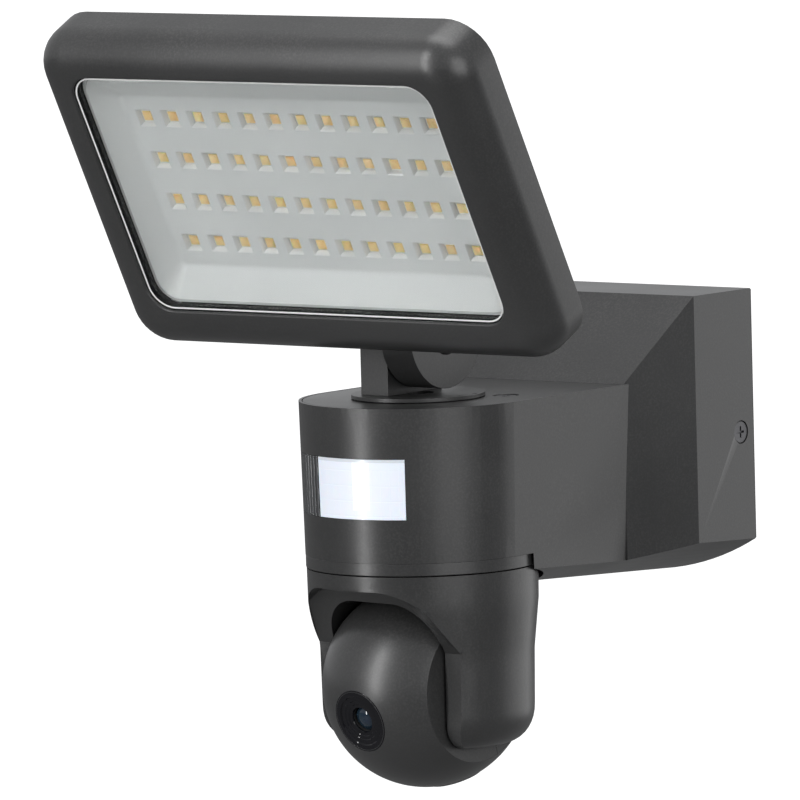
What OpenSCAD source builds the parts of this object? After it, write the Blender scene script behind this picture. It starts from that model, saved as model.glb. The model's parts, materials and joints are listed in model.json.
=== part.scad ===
// Wall floodlight with a motion sensor and a pan-and-tilt camera.
// Origin: centre of the wall face. +Z is up, the front faces -Y, millimetres.

/* [Wall box] */
// Width of the wall box
box_w = 100; // [95:1:130]
// Height of the box top above the wall face's centre
box_top = 44.5; // [38:0.5:60]
// Depth of the box from the wall
box_depth = 34.5; // [30:0.5:45]
// Radius of the curved underside
belly_r = 102; // [95:1:160]
// Height of the underside's lowest line at the wall
belly_z = -56.5; // [-70:0.5:-54]
// Rise of the underside towards the front, in degrees
belly_tilt = 3; // [0:0.5:4]
// Thickness of the housing's walls
wall = 3; // [2.4:0.1:3.6]
// Thickness of the gasket between the box and the wall
gasket_t = 1; // [0.6:0.1:2]

/* [Arm] */
// Distance of the camera's pan axis from the wall
reach = 127; // [120:1:160]
// Height of the arm's flat top
arm_top = 16; // [12:0.5:22]
// Distance from the wall to the fold where the slope meets the arm
fold_y = 63.5; // [55:0.5:66]
// Radius of the rounded front at its top rim
front_r_top = 41.1; // [39:0.1:50]
// Radius of the rounded front at its lower rim
front_r = 40.1; // [39:0.1:50]
// Width of the rim around the top cover
rim_w = 1.4; // [1:0.1:3]
// Thickness of the top cover
cover_t = 2.5; // [2:0.1:4]
// Distance of the cover screws from the pan axis, sideways
cover_screw_x = 24.2; // [22:0.1:28]
// Distance of the cover screws behind the pan axis
cover_screw_y = 17.8; // [12:0.1:30]

/* [Motion sensor] */
// Height of the sensor window
window_h = 20.8; // [16:0.1:24]
// Height of the window's top edge
window_top = -1.2; // [-6:0.1:2]
// Angle of the white lens's left end from straight ahead
lens_from = -20.5; // [-40:0.5:-10]
// Angle of the white lens's right end from straight ahead
lens_to = 30.7; // [20:0.1:50]
// Angle of the dark side strip's left end from straight ahead
strip_from = -47.5; // [-70:0.5:-45]

/* [Flood head] */
// Width of the flood head
head_w = 183.6; // [170:0.2:240]
// Height of the flood head
head_h = 124.8; // [118:0.2:160]
// Radius of the head's corners seen from the front
head_corner = 15; // [12.5:0.5:20]
// Radius of the head's front edges
head_edge = 12; // [4:0.5:12]
// Width of the glass that shows
glass_w = 153.4; // [146:0.2:156]
// Height of the glass that shows
glass_h = 93.5; // [88:0.5:95]
// Radius of the glass's corners
glass_corner = 9; // [5:0.5:12]
// Height of the glass's middle above the lights' middle
glass_up = 1.9; // [0:0.1:3]
// Tilt of the head's face below the horizontal at rest
head_tilt = 27.6; // [10:0.1:40]
// Height of the tilt pivot above the arm's top
pivot_up = 24; // [23.4:0.1:30]
// Distance from the pivot up to the middle of the lights
led_up = 73.5; // [72.5:0.5:90]
// Distance from the pivot forward to the lights' plane
led_out = 23.5; // [23:0.5:30]
// Columns of lights
led_cols = 12; // [6:1:12]
// Rows of lights
led_rows = 4; // [2:1:4]
// Distance between the columns of lights
led_pitch_x = 11.1; // [8:0.1:11.4]
// Distance between the rows of lights
led_pitch_y = 16.65; // [12:0.05:17]
// Radius of the hinge knuckle
knuckle_r = 20.5; // [16:0.1:20.6]
// Width of the hinge knuckle
knuckle_w = 13; // [10:0.5:16]
// Width of the hinge post
post_w = 11.7; // [8:0.1:13]
// Radius of the turntable
turn_r = 23; // [19:0.5:24]

/* [Camera] */
// Depth of the collar ring under the rounded front
collar_h = 4.3; // [4:0.1:6]
// Height of the collar ring's top
collar_top = -36.9; // [-38:0.1:-36]
// Turn of the camera at rest, in degrees from straight ahead
camera_turn = 6.5; // [-30:0.5:30]
// Radius of the camera ball
ball_r = 35.5; // [34:0.1:36]
// Height of the camera ball's centre
ball_z = -83; // [-84:0.1:-82.5]
// Gap between the ball and the yoke around it
ball_gap = 0.5; // [0.4:0.1:0.8]
// Half width of the ball between its flat sides
ball_flat = 25; // [22:0.1:25.5]
// Radius of the yoke at its top
yoke_r = 39.8; // [39.5:0.1:42]
// Radius of the yoke beside the ball
yoke_low_r = 37.4; // [37.2:0.1:40]
// Half width of the yoke's opening
yoke_open = 26.2; // [26:0.1:29]
// Tilt of the lens below the horizontal at rest
lens_tilt = 16; // [0:1:30]
// Radius of the lens window
eye_r = 10.6; // [8:0.1:12]

/* [Hidden] */
$fn = 96;

paint = "dimgray";
dark_paint = "darkslategray";
steel = "silver";
board_green = "darkgreen";
black_part = "black";

gap = 0.3;           // between separate bodies' faces
fit = 0.1;           // between pieces of one body
run = 0.05;          // running clearance of a shaft, on the radius
snug = 0.02;         // clearance of a fixed shaft, on the radius
eps = 0.5;           // overshoot of a cut
far = 200;           // longer than any piece

ledge_t = 2;
ledge_w = 3.5;
recess_r = front_r + 1.3;
floor_top = collar_top + wall;
cover_r = front_r_top - rim_w;
cover_back = fold_y + 1.5;
roof = arm_top - cover_t - ledge_t;
pivot_z = arm_top + pivot_up;
collar_low = collar_top - collar_h;
yoke_top = collar_low - 0.4;
body_low = belly_z - 10;

// radius of the drafted front at a height
function front_at(z) =
    front_r + (z - collar_top) / (arm_top - collar_top) * (front_r_top - front_r);

module at_pan() translate([0, -reach, 0]) children();
module along_x(x) translate([x, 0, 0]) rotate([0, 90, 0]) children();
module at_pivot() translate([0, -reach, pivot_z]) children();
module in_head() at_pivot() rotate([90 + head_tilt, 0, 0]) translate([0, led_up, led_out]) children();
module at_yoke(z = 0) translate([0, -reach, z]) rotate([0, 0, -camera_turn]) children();
module in_ball() at_yoke(ball_z) rotate([lens_tilt, 0, 0]) children();
module both_sides() for (s = [0, 1]) mirror([s, 0, 0]) children();
module tube(outer, inner, h) difference() {
    cylinder(r = outer, h = h);
    translate([0, 0, -eps]) cylinder(r = inner, h = h + 2 * eps);
}

// a screw with its head's underside at the origin and its shank along -Z
module screw(head_r, head_h, shank_r, shank_l) {
    difference() {
        cylinder(r = head_r, h = head_h);
        for (a = [0, 90]) rotate([0, 0, a])
            translate([-head_r * 0.55, -head_r * 0.11, head_h * 0.5])
                cube([head_r * 1.1, head_r * 0.22, head_h]);
    }
    translate([0, 0, -shank_l]) cylinder(r = shank_r, h = shank_l + head_h * 0.3);
}

// spur gear with straight-flanked teeth; tooth 0 points along +X
module gear(teeth, mod, h, bore) {
    pitch = 360 / teeth;
    root = mod * (teeth / 2 - 1.25);
    tip = mod * (teeth / 2 + 0.9);
    points = [for (i = [0 : teeth - 1]) each [
        root * [cos(pitch * (i - 0.26)), sin(pitch * (i - 0.26))],
        tip * [cos(pitch * (i - 0.09)), sin(pitch * (i - 0.09))],
        tip * [cos(pitch * (i + 0.09)), sin(pitch * (i + 0.09))],
        root * [cos(pitch * (i + 0.26)), sin(pitch * (i + 0.26))]]];
    difference() {
        linear_extrude(h) polygon(points);
        if (bore > 0) translate([0, 0, -eps]) cylinder(r = bore, h = h + 2 * eps);
    }
}

// ---------------------------------------------------------------- housing

// half-round front between two heights, moved inwards by d
module round_front(d, low, high) at_pan() rotate([0, 0, 180]) rotate_extrude(angle = 180)
    polygon([[0, low], [front_at(low) - d, low], [front_at(high) - d, high], [0, high]]);

// straight arm with the front's draft, from the pan axis back into the box
module arm_prism(d, low, high) translate([0, -box_depth, 0]) rotate([90, 0, 0])
    linear_extrude(reach - box_depth)
        polygon([[-front_at(low) + d, low], [front_at(low) - d, low],
                 [front_at(high) - d, high], [-front_at(high) + d, high]]);

// wall box with the planar taper to the arm
module box_taper(d, rear, high, arm_high) {
    half = box_w / 2 - d;
    slim = (front_r + front_r_top) / 2 - 0.2 - d;
    intersection() {
        translate([0, 0, body_low]) linear_extrude(far)
            polygon([[-half, rear], [-half, -box_depth + d / 3], [-slim, -fold_y + d / 3],
                     [slim, -fold_y + d / 3], [half, -box_depth + d / 3], [half, rear]]);
        translate([-box_w, 0, 0]) rotate([90, 0, 90]) linear_extrude(2 * box_w)
            polygon([[rear, high], [-box_depth + d / 3, high], [-fold_y + d / 3, arm_high],
                     [-fold_y - far, arm_high], [-fold_y - far, body_low], [rear, body_low]]);
    }
}

module belly(d) translate([0, far / 10, belly_z + belly_r - far / 10 * tan(belly_tilt)])
    rotate([90 - belly_tilt, 0, 0]) cylinder(r = belly_r - d, h = far * 1.2, $fn = 180);

module body_form(d, rear, high, arm_high) intersection() {
    union() {
        round_front(d, body_low, arm_high);
        arm_prism(d, body_low, arm_high);
        box_taper(d, rear, high, arm_high);
    }
    belly(d);
}

// plan of the top cover drawn in by g, between two heights
module cover_block(g, low, high) {
    at_pan() translate([0, 0, low]) rotate([0, 0, 180]) rotate_extrude(angle = 180)
        square([cover_r - g, high - low]);
    translate([-cover_r + g, -reach, low])
        cube([2 * (cover_r - g), reach - cover_back - g, high - low]);
}

// slice of a ring about the pan axis; angles run from straight ahead to the right
module ring_slice(from, to, inner, outer_low, outer_high, low, high)
    at_pan() rotate([0, 0, -90 + from]) rotate_extrude(angle = to - from)
        polygon([[inner, low], [outer_low, low], [outer_high, high], [inner, high]]);

screw_z = -5.4;      // side screws
screw_y = -8.2;
side_recess = 1.6;
bearing_r = 13;
spindle_r = 8;
boss_r = bearing_r + wall;
bearing_h = 5;
window_low = window_top - window_h;
lug_h = 7;
speaker_y = -58;
board_x = front_r - 7.1;
board_posts_y = [-100, -68];
board_posts_z = [-24, 4];
post_r = 2.5;
board_t = 1.5;
board_margin = 4;
lug_in = 4.7;
lug_w = 9;
grille_hole_r = 1;
grille_r = 6;
belly_in = belly_z + wall - speaker_y * tan(belly_tilt);

module lugs() both_sides()
    translate([cover_screw_x - lug_in, -reach + cover_screw_y - lug_w / 2, arm_top - cover_t - lug_h])
        cube([front_r - wall / 2 - cover_screw_x + lug_in, lug_w, lug_h]);

module board_posts() for (y = board_posts_y, z = board_posts_z)
    translate([board_x + board_t + fit, y, z])
        along_x(0) cylinder(r = post_r, h = front_r - wall / 2 - board_x - board_t - fit);

module main_housing() color(paint) difference() {
    union() {
        difference() {
            body_form(0, -gasket_t, box_top, arm_top);
            difference() {
                body_form(wall, eps, box_top - wall, roof);
                at_pan() translate([0, 0, body_low])
                    cylinder(r = recess_r + wall, h = floor_top - body_low);
            }
            cover_block(-gap, arm_top - cover_t - fit, arm_top + eps);
            cover_block(ledge_w, roof - eps, arm_top);
        }
        lugs();
        board_posts();
        at_pan() translate([0, 0, collar_top + wall / 2])
            cylinder(r = boss_r, h = bearing_h - wall / 2);
    }
    // round recess over the camera yoke
    at_pan() translate([0, 0, body_low - eps]) cylinder(r = recess_r, h = collar_top - body_low + eps);
    at_pan() translate([0, 0, collar_top - eps]) cylinder(r = bearing_r, h = bearing_h + 2 * eps);
    ring_slice(strip_from, lens_to, front_r - 3 * wall, front_r_top + eps, front_r_top + eps,
               window_low, window_top);
    both_sides() translate([0, screw_y, screw_z]) {
        along_x(box_w / 2 - side_recess) cylinder(r = 4.1, h = side_recess + eps);
        along_x(box_w / 2 - 2 * wall) cylinder(r = 1.75, h = 2 * wall);
    }
    both_sides() translate([cover_screw_x, -reach + cover_screw_y, arm_top - cover_t - lug_h - eps])
        cylinder(r = 1.5, h = lug_h + 2 * eps);
    translate([0, speaker_y, belly_in - 2 * wall]) {
        cylinder(r = grille_hole_r, h = 3 * wall, $fn = 24);
        for (a = [0 : 45 : 359]) rotate([0, 0, a]) translate([grille_r, 0, 0])
            cylinder(r = grille_hole_r, h = 3 * wall, $fn = 24);
    }
}

turn_bush_r = 13;
turn_spindle_r = 9;
bush_low = 6.2;
sink_r = 4.6;          // recess over each cover screw
sink_deep = 1.7;

module top_cover() color(paint) difference() {
    union() {
        cover_block(0, arm_top - cover_t, arm_top);
        at_pan() translate([0, 0, bush_low])
            cylinder(r = turn_bush_r, h = arm_top - cover_t - bush_low + eps);
    }
    at_pan() translate([0, 0, bush_low - eps])
        cylinder(r = turn_spindle_r + run, h = arm_top - bush_low + 2 * eps);
    both_sides() translate([cover_screw_x, -reach + cover_screw_y, 0]) {
        translate([0, 0, arm_top - sink_deep]) cylinder(r = sink_r, h = sink_deep + eps);
        cylinder(r = sink_deep, h = arm_top);
    }
}

module cover_screws() color(steel) both_sides()
    translate([cover_screw_x, -reach + cover_screw_y, arm_top - sink_deep]) screw(3.6, 1.4, 1.42, 8);

plate_t = 2.5;
plate_w = box_w - 2 * wall - 6;
plate_top = box_top - wall - 4;
plate_low = -37;
slot_x = 33;
slot_l = 12;
slot_r = 2.5;
cable_z = 22;
grommet_r = 9;
cable_r = 5;
tab_t = 1.8;
tab_in = box_w / 2 - wall - gap - tab_t;
spacer_x = 35;
spacer_z = 27;

module wall_plate() color(steel) difference() {
    union() {
        translate([-plate_w / 2, -plate_t, plate_low]) cube([plate_w, plate_t, plate_top - plate_low]);
        both_sides() {
            translate([tab_in, -14, screw_z - 6]) cube([tab_t, 14, 12]);
            translate([plate_w / 2 - eps, -plate_t, screw_z - 6])
                cube([tab_in - plate_w / 2 + 2 * eps, plate_t, 12]);
        }
    }
    both_sides() {
        for (x = [slot_x - slot_l / 2 + slot_r, slot_x + slot_l / 2 - slot_r])
            translate([x, eps, 0]) rotate([90, 0, 0]) cylinder(r = slot_r, h = plate_t + 2 * eps);
        translate([slot_x - slot_l / 2 + slot_r, -plate_t - eps, -slot_r])
            cube([slot_l - 2 * slot_r, plate_t + 2 * eps, 2 * slot_r]);
        translate([0, screw_y, screw_z]) along_x(tab_in - eps) cylinder(r = 1.65, h = tab_t + 2 * eps);
    }
    translate([0, eps, cable_z]) rotate([90, 0, 0]) cylinder(r = grommet_r, h = plate_t + 2 * eps);
}

module wall_gasket() color(black_part) difference() {
    body_form(0.4, 0, box_top - 0.4, arm_top);
    body_form(wall - 0.4, eps, box_top - wall + 0.4, arm_top);
    translate([-box_w, -far, body_low]) cube([2 * box_w, far - gasket_t, far]);
}

module side_screws() color(steel) both_sides() translate([0, screw_y, screw_z])
    along_x(box_w / 2 - side_recess) screw(3.7, 1.3, 1.6, wall + tab_t);

module collar_ring() color(paint) at_pan() translate([0, 0, collar_low])
    tube(front_r - 0.1, front_r - 6, collar_h);

flange_t = 1.2;
module window_piece(from, to, stretch_l, stretch_r) {
    ring_slice(from, to, front_r - wall - 0.7, front_at(window_low), front_at(window_top),
               window_low + fit, window_top - fit);
    inner = front_r - wall - fit - flange_t - 0.3;
    ring_slice(from - stretch_l, to + stretch_r, inner, inner + flange_t, inner + flange_t,
               window_low - 1.5, window_top + 1.5);
}
module motion_lens() color("white") window_piece(lens_from + 0.3, lens_to - 0.2, 0, 2.5);
module sensor_window() color(black_part) window_piece(strip_from + 0.2, lens_from - 0.6, 2.5, 0);

sensor_az = (lens_from + lens_to) / 2;
sensor_z = (window_top + window_low) / 2;
module facing_window() at_pan() translate([0, 0, sensor_z]) rotate([0, 0, sensor_az]) children();
module motion_sensor() color(steel) facing_window() translate([0, -23.2, 0])
    rotate([90, 0, 0]) cylinder(r = 4.6, h = 4.2);
module sensor_board() color(board_green) facing_window() translate([-12, -23.1, -9])
    cube([24, 1.4, 18]);

module main_board() color(board_green) {
    y_low = board_posts_y[0] - board_margin;
    y_len = board_posts_y[1] - board_posts_y[0] + 2 * board_margin;
    z_low = board_posts_z[0] - board_margin;
    z_len = board_posts_z[1] - board_posts_z[0] + 2 * board_margin;
    translate([board_x, y_low, z_low]) cube([board_t, y_len, z_len]);
    translate([board_x - 2, y_low + 12, z_low + 12]) cube([2.2, 12, 12]);
    translate([board_x - 1.6, y_low + 30, z_low + 8]) cube([1.8, 9, 7]);
    translate([board_x - 3, y_low + 29, z_low + 21]) cube([3.2, 14, 9]);
}

power_y = -24;
power_t = 1.6;
power_margin = 5;
spacer_r = 3;
module power_board() color(board_green) {
    translate([-spacer_x - power_margin, power_y, -spacer_z - power_margin])
        cube([2 * (spacer_x + power_margin), power_t, 2 * (spacer_z + power_margin)]);
    translate([-20, power_y - 15, -8]) cube([24, 15.2, 20]);
    translate([14, power_y, 6]) rotate([90, 0, 0]) cylinder(r = 5, h = 16);
    translate([14, power_y, -8]) rotate([90, 0, 0]) cylinder(r = 4, h = 12);
    translate([-16, power_y, -18]) rotate([90, 0, 0]) cylinder(r = 4, h = 9);
    translate([-2, power_y - 8, -24]) cube([14, 8.2, 7]);
}

module board_spacers() color("goldenrod") for (x = [-spacer_x, spacer_x], z = [-spacer_z, spacer_z])
    translate([x, -plate_t, z]) rotate([90, 0, 0])
        cylinder(r = spacer_r, h = -power_y - power_t - plate_t);

block_left = -24;
block_low = -34;
block_size = [30, 12, 11];
poles = 3;
pole_pitch = block_size[0] / poles;
module terminal_block() color("ivory") difference() {
    translate([block_left, -plate_t - block_size[1], block_low]) cube(block_size);
    for (i = [0 : poles - 1])
        translate([block_left + (i + 0.5) * pole_pitch, -plate_t - block_size[1] - eps,
                   block_low + block_size[2] / 2]) rotate([-90, 0, 0]) cylinder(r = 2.6, h = 8);
}

grommet_lip = 1.6;
module cable_grommet() color(black_part) translate([0, 0, cable_z]) rotate([90, 0, 0]) difference() {
    union() {
        cylinder(r = grommet_r - fit, h = plate_t + 4);
        translate([0, 0, plate_t]) cylinder(r = grommet_r + grommet_lip, h = 1.5);
    }
    translate([0, 0, -eps]) cylinder(r = cable_r, h = far / 10);
}

module antenna() color("goldenrod") translate([-22, -18, box_top - wall - 1.2]) cube([44, 9, 1]);

module speaker() color(black_part) translate([0, speaker_y, belly_in + 2]) {
    cylinder(r = 14, h = 2.5);
    cylinder(r = 9, h = 6);
}

module microphone() color(steel) translate([0, speaker_y + 20, belly_in + 1.5])
    cylinder(r = 3, h = 2.4);

gear_z = collar_top + bearing_h + 0.5;
gear_h = 5;
pan_mod = 1;
pan_teeth = 48;
pan_pinion_teeth = 12;
pan_shaft_r = 2.5;
pan_centres = pan_mod * (pan_teeth + pan_pinion_teeth) / 2;
motor_z = gear_z + gear_h + 3.4;

module at_pan_pinion() translate([0, -reach + pan_centres, 0]) children();

module pan_motor() color(steel) at_pan_pinion() translate([0, 0, motor_z]) difference() {
    union() {
        cylinder(r = 14, h = 19);
        translate([-17.5, -3.5, 0]) cube([35, 7, 1]);
    }
    translate([0, 0, -eps]) cylinder(r = pan_shaft_r + run, h = 7);
}

module pan_pinion() color("ivory") at_pan_pinion() {
    translate([0, 0, gear_z]) rotate([0, 0, 180 / pan_pinion_teeth])
        gear(pan_pinion_teeth, pan_mod, gear_h, 0);
    translate([0, 0, gear_z]) cylinder(r = pan_shaft_r, h = motor_z - gear_z + 5);
}

module pan_bearing() color(steel) at_pan() translate([0, 0, collar_top])
    tube(bearing_r - snug, spindle_r + run, bearing_h);

// ---------------------------------------------------------------- flood turntable

disc_low = arm_top + gap;
disc_t = 1.3;
disc_top = disc_low + disc_t;
turn_low = bush_low - 4;
turn_bore_r = 5.5;

module turntable() color(dark_paint) at_pan() difference() {
    union() {
        translate([0, 0, disc_low]) cylinder(r = turn_r, h = disc_t);
        translate([0, 0, turn_low]) cylinder(r = turn_spindle_r, h = disc_low - turn_low + eps);
    }
    translate([0, 0, turn_low - eps]) cylinder(r = turn_bore_r, h = arm_top);
    rotate([0, 0, 12]) translate([turn_r - 1.6, 0, disc_top - 0.6]) cylinder(r = 0.9, h = 1, $fn = 24);
}

module spindle_ring() color(steel) at_pan() translate([0, 0, bush_low - 2.4])
    tube(turn_bush_r + 1, turn_spindle_r + snug, 2.2);

post_left = -1.3 - post_w;
post_d = 30;
bolt_r = 5;
post_screw_y = 10;
post_screw_r = 1.5;
washer_t = 0.95;
washer_r = 12;
bolt_head_r = 8;
bolt_head_t = 3;

module hinge_post() color(dark_paint) at_pan() difference() {
    union() {
        translate([post_left, -post_d / 2, disc_top]) cube([post_w, post_d, pivot_z - disc_top]);
        translate([0, 0, pivot_z]) along_x(post_left) cylinder(r = post_d / 2, h = post_w);
    }
    translate([0, 0, pivot_z]) along_x(post_left - eps)
        cylinder(r = bolt_r + snug, h = post_w + 2 * eps);
    for (s = [-1, 1]) translate([post_left + post_w / 2, s * post_screw_y, disc_top - eps])
        cylinder(r = post_screw_r + 0.05, h = 9);
}

module post_screws() color(steel) at_pan() for (s = [-1, 1])
    translate([post_left + post_w / 2, s * post_screw_y, disc_top + snug])
        cylinder(r = post_screw_r, h = 8);

nut_w = 4;
module hinge_bolt() color(steel) at_pivot() {
    along_x(post_left - bolt_head_t) cylinder(r = bolt_head_r, h = bolt_head_t);
    along_x(post_left - eps) cylinder(r = bolt_r, h = knuckle_w - post_left + eps);
}

module hinge_nut() color(steel) at_pivot() along_x(knuckle_w - nut_w + 0.4) difference() {
    cylinder(r = bolt_head_r, h = nut_w - 1, $fn = 6);
    translate([0, 0, -eps]) cylinder(r = bolt_r + snug, h = nut_w + eps);
}

module hinge_washer() color(steel) at_pivot() along_x(-gap - washer_t)
    tube(washer_r, bolt_r + snug, washer_t);

// ---------------------------------------------------------------- flood head
// in_head(): X to the right, Y up the face, Z out of the face, origin amid the lights

front_z = 15.8;
back_z = -5.6;
skin = 3.5;
glass_z = 11.6;
glass_t = 3;
lip = 3.5;
base_t = 3.2;
base_z = -1.9;
fin_tip = -18;
screw_ins = 10.5;
head_boss_r = 4;
head_pilot_r = 1.8;
head_pilot_deep = 11;
gasket_lip = 1;
gasket_low = 1.6;      // gasket's underside below the glass
gasket_h = 1.5;
gasket_room = gasket_low + 0.1;
gasket_in = 0.5;       // how far it shows inside the window

module rounded_plate(w, h, r, t) linear_extrude(t) union() {
    square([w - 2 * r, h], center = true);
    square([w, h - 2 * r], center = true);
    for (x = [-1, 1], y = [-1, 1]) translate([x * (w / 2 - r), y * (h / 2 - r)]) circle(r = r);
}

// corner post of the head with its rounded front edge
module head_corner_post() rotate_extrude($fn = 64) polygon(concat(
    [[0, back_z], [head_corner, back_z]],
    [for (a = [0 : 10 : 90]) [head_corner - head_edge + head_edge * cos(a),
                              front_z - head_edge + head_edge * sin(a)]],
    [[0, front_z]]));

module head_corners() for (x = [-1, 1], y = [-1, 1])
    translate([x * (head_w / 2 - screw_ins), y * (head_h / 2 - screw_ins), 0]) children();

module head_frame() color(paint) in_head() difference() {
    union() {
        difference() {
            hull() for (x = [-1, 1], y = [-1, 1])
                translate([x * (head_w / 2 - head_corner), y * (head_h / 2 - head_corner), 0])
                    head_corner_post();
            translate([0, 0, back_z - eps]) rounded_plate(head_w - 2 * skin, head_h - 2 * skin,
                head_corner - skin, glass_z - back_z + eps);
            translate([0, glass_up, glass_z - eps]) rounded_plate(glass_w + 2 * lip, glass_h + 2 * lip,
                glass_corner + lip, glass_t + fit + eps);
            translate([0, glass_up, glass_z]) rounded_plate(glass_w, glass_h, glass_corner, far);
        }
        head_corners() translate([0, 0, base_z + fit]) cylinder(r = head_boss_r, h = glass_z - base_z);
    }
    head_corners() translate([0, 0, base_z - eps])
        cylinder(r = head_pilot_r, h = head_pilot_deep);
    // room for the gasket beside the screw posts
    translate([0, glass_up, glass_z - gasket_room])
        rounded_plate(glass_w + 2 * (lip + gasket_lip + fit), glass_h + 2 * (lip + gasket_lip + fit),
            glass_corner + lip, gasket_room);
}

fin_w = 150;
fin_h = 90;
fin_count = 16;
fin_t = 2;
sink_hole_r = 2.1;
bracket_bolt_x = 16;
bracket_thread_r = 1.85;
bracket_thread_deep = 9;
bracket_bolt_hole_r = 2.1;
pad_w = 46;
pad_low = -46;
pad_h = 24;
pad_x = knuckle_w / 2 - pad_w / 2;

module heat_sink() color(dark_paint) in_head() difference() {
    union() {
        translate([0, 0, base_z - base_t]) rounded_plate(head_w - 2 * skin - 2 * fit,
            head_h - 2 * skin - 2 * fit, head_corner - skin, base_t);
        for (i = [0 : fin_count - 1])
            translate([-fin_w / 2 + i * (fin_w - fin_t) / (fin_count - 1), -fin_h / 2, fin_tip])
                cube([fin_t, fin_h, base_z - base_t - fin_tip + eps]);
        translate([pad_x, pad_low, fin_tip]) cube([pad_w, pad_h, base_z - base_t - fin_tip + eps]);
    }
    head_corners() translate([0, 0, base_z - base_t - eps])
        cylinder(r = sink_hole_r, h = base_t + 2 * eps);
    bracket_holes(bracket_thread_r, fin_tip - eps, bracket_thread_deep);
}

module bracket_holes(r, low, h) for (x = [-1, 1])
    translate([knuckle_w / 2 + x * bracket_bolt_x, pad_low + pad_h / 2, low]) cylinder(r = r, h = h);

foot_t = 4;
neck_t = 8.5;         // web from the foot to the knuckle
nut_pocket_r = 9;
module hinge_bracket() color(dark_paint) in_head() difference() {
    union() {
        translate([pad_x, pad_low, fin_tip - foot_t]) cube([pad_w, pad_h, foot_t]);
        translate([0, -led_up, -led_out]) along_x(0) cylinder(r = knuckle_r, h = knuckle_w);
        translate([0, -led_up, fin_tip - foot_t - neck_t])
            cube([knuckle_w, led_up + pad_low + pad_h, foot_t + neck_t - gap]);
    }
    translate([0, -led_up, -led_out]) {
        along_x(-eps) cylinder(r = bolt_r + run, h = knuckle_w + 2 * eps);
        along_x(knuckle_w - nut_w) cylinder(r = nut_pocket_r, h = nut_w + eps);
    }
    bracket_holes(bracket_bolt_hole_r, fin_tip - foot_t - eps, foot_t + 2 * eps);
}

module bracket_bolts() color(steel) in_head() for (x = [-1, 1])
    translate([knuckle_w / 2 + x * bracket_bolt_x, pad_low + pad_h / 2, fin_tip - foot_t])
        rotate([180, 0, 0]) screw(4, 2.6, 1.8, 11);

module front_glass() color("lightblue", 0.4) in_head() translate([0, glass_up, glass_z])
    rounded_plate(glass_w + 2 * (lip - fit), glass_h + 2 * (lip - fit),
        glass_corner + lip - fit, glass_t);

module glass_gasket() color(black_part) in_head()
translate([0, glass_up, glass_z - gasket_low]) difference() {
    rounded_plate(glass_w + 2 * (lip + gasket_lip), glass_h + 2 * (lip + gasket_lip),
        glass_corner + lip, gasket_h);
    translate([0, 0, -eps]) rounded_plate(glass_w - 2 * gasket_in, glass_h - 2 * gasket_in,
        glass_corner - gasket_in, far);
}

floor_w = 137.4;
floor_h = 69;
tray_low = 0.8;
tray_t = 0.9;
tray_high = glass_z - 1.8;
sheet = 0.01;
led_hole = 5.2;
module tray_form(grow, low, high) hull() {
    translate([0, 0, low]) linear_extrude(sheet)
        square([floor_w + 2 * grow, floor_h + 2 * grow], center = true);
    translate([0, glass_up, high - sheet]) linear_extrude(sheet)
        square([glass_w - 2 * tray_t + 2 * grow, glass_h - 2 * tray_t + 2 * grow], center = true);
}

module led_places() for (c = [0 : led_cols - 1], r = [0 : led_rows - 1])
    translate([(c - (led_cols - 1) / 2) * led_pitch_x, (r - (led_rows - 1) / 2) * led_pitch_y, 0])
        children();

module reflector() color("white") in_head() difference() {
    tray_form(0, tray_low, tray_high);
    translate([0, 0, tray_t]) tray_form(-tray_t, tray_low, tray_high + sheet);
    led_places() translate([-led_hole / 2, -led_hole / 2, 0])
        cube([led_hole, led_hole, tray_low + tray_t + eps]);
}

led_w = 3.6;
led_t = 1.1;
led_board_t = 1.6;
module led_board() color("white") in_head() translate([-floor_w / 2, -floor_h / 2, base_z])
    cube([floor_w, floor_h, led_board_t]);
module leds() color("orange") in_head() led_places()
    translate([-led_w / 2, -led_w / 2, base_z + led_board_t]) cube([led_w, led_w, led_t]);

module head_screws() color(steel) in_head() head_corners()
    translate([0, 0, base_z - base_t]) rotate([180, 0, 0]) screw(3.6, 2, 1.75, 12);

// ---------------------------------------------------------------- camera yoke

yoke_low = ball_z - 19.8;
turn_z = ball_z - 7.5;
yoke_round = 9.5;
yoke_drop = turn_z - yoke_low;
arch_top = ball_z + 30.7;
arch_r = 17;
scoop_w = 34;         // half width of the opening's outer edge
scoop_top = ball_z + 36.2;
scoop_r = 22;
scoop_y = 28;
arm_front = 17;       // distance of the arms' front faces from the pan axis
arm_round = 9;

module yoke_outer() rotate_extrude() polygon(concat(
    [[0, yoke_top], [yoke_r, yoke_top], [yoke_r - 0.2, yoke_top - 12],
     [yoke_low_r + 0.4, ball_z + 12]],
    [for (a = [0 : 10 : 80]) [yoke_low_r - yoke_round + yoke_round * cos(a),
                              turn_z - yoke_drop * sin(a)]],
    [[0, turn_z - yoke_drop * sin(80)]]));

// arched outline of an opening, from below the ball up to top
module arch(half, top, r) {
    low = ball_z - 2 * ball_r;
    translate([-half, low]) square([2 * half, top - r - low]);
    translate([-half + r, low]) square([2 * (half - r), top - low]);
    for (s = [-1, 1]) translate([s * (half - r), top - r]) circle(r = r, $fn = 64);
}

module front_prism(half, top, r, from, len) translate([0, -from, 0]) rotate([90, 0, 0])
    linear_extrude(len) arch(half, top, r);

// cut that leaves the arms' lower front corners round
module arm_corner() difference() {
    translate([-far / 2, -far, yoke_low - far])
        cube([far, far - arm_front + arm_round, far + arm_round]);
    translate([0, -arm_front + arm_round, yoke_low + arm_round]) along_x(-far / 2)
        cylinder(r = arm_round, h = far);
}

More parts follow.
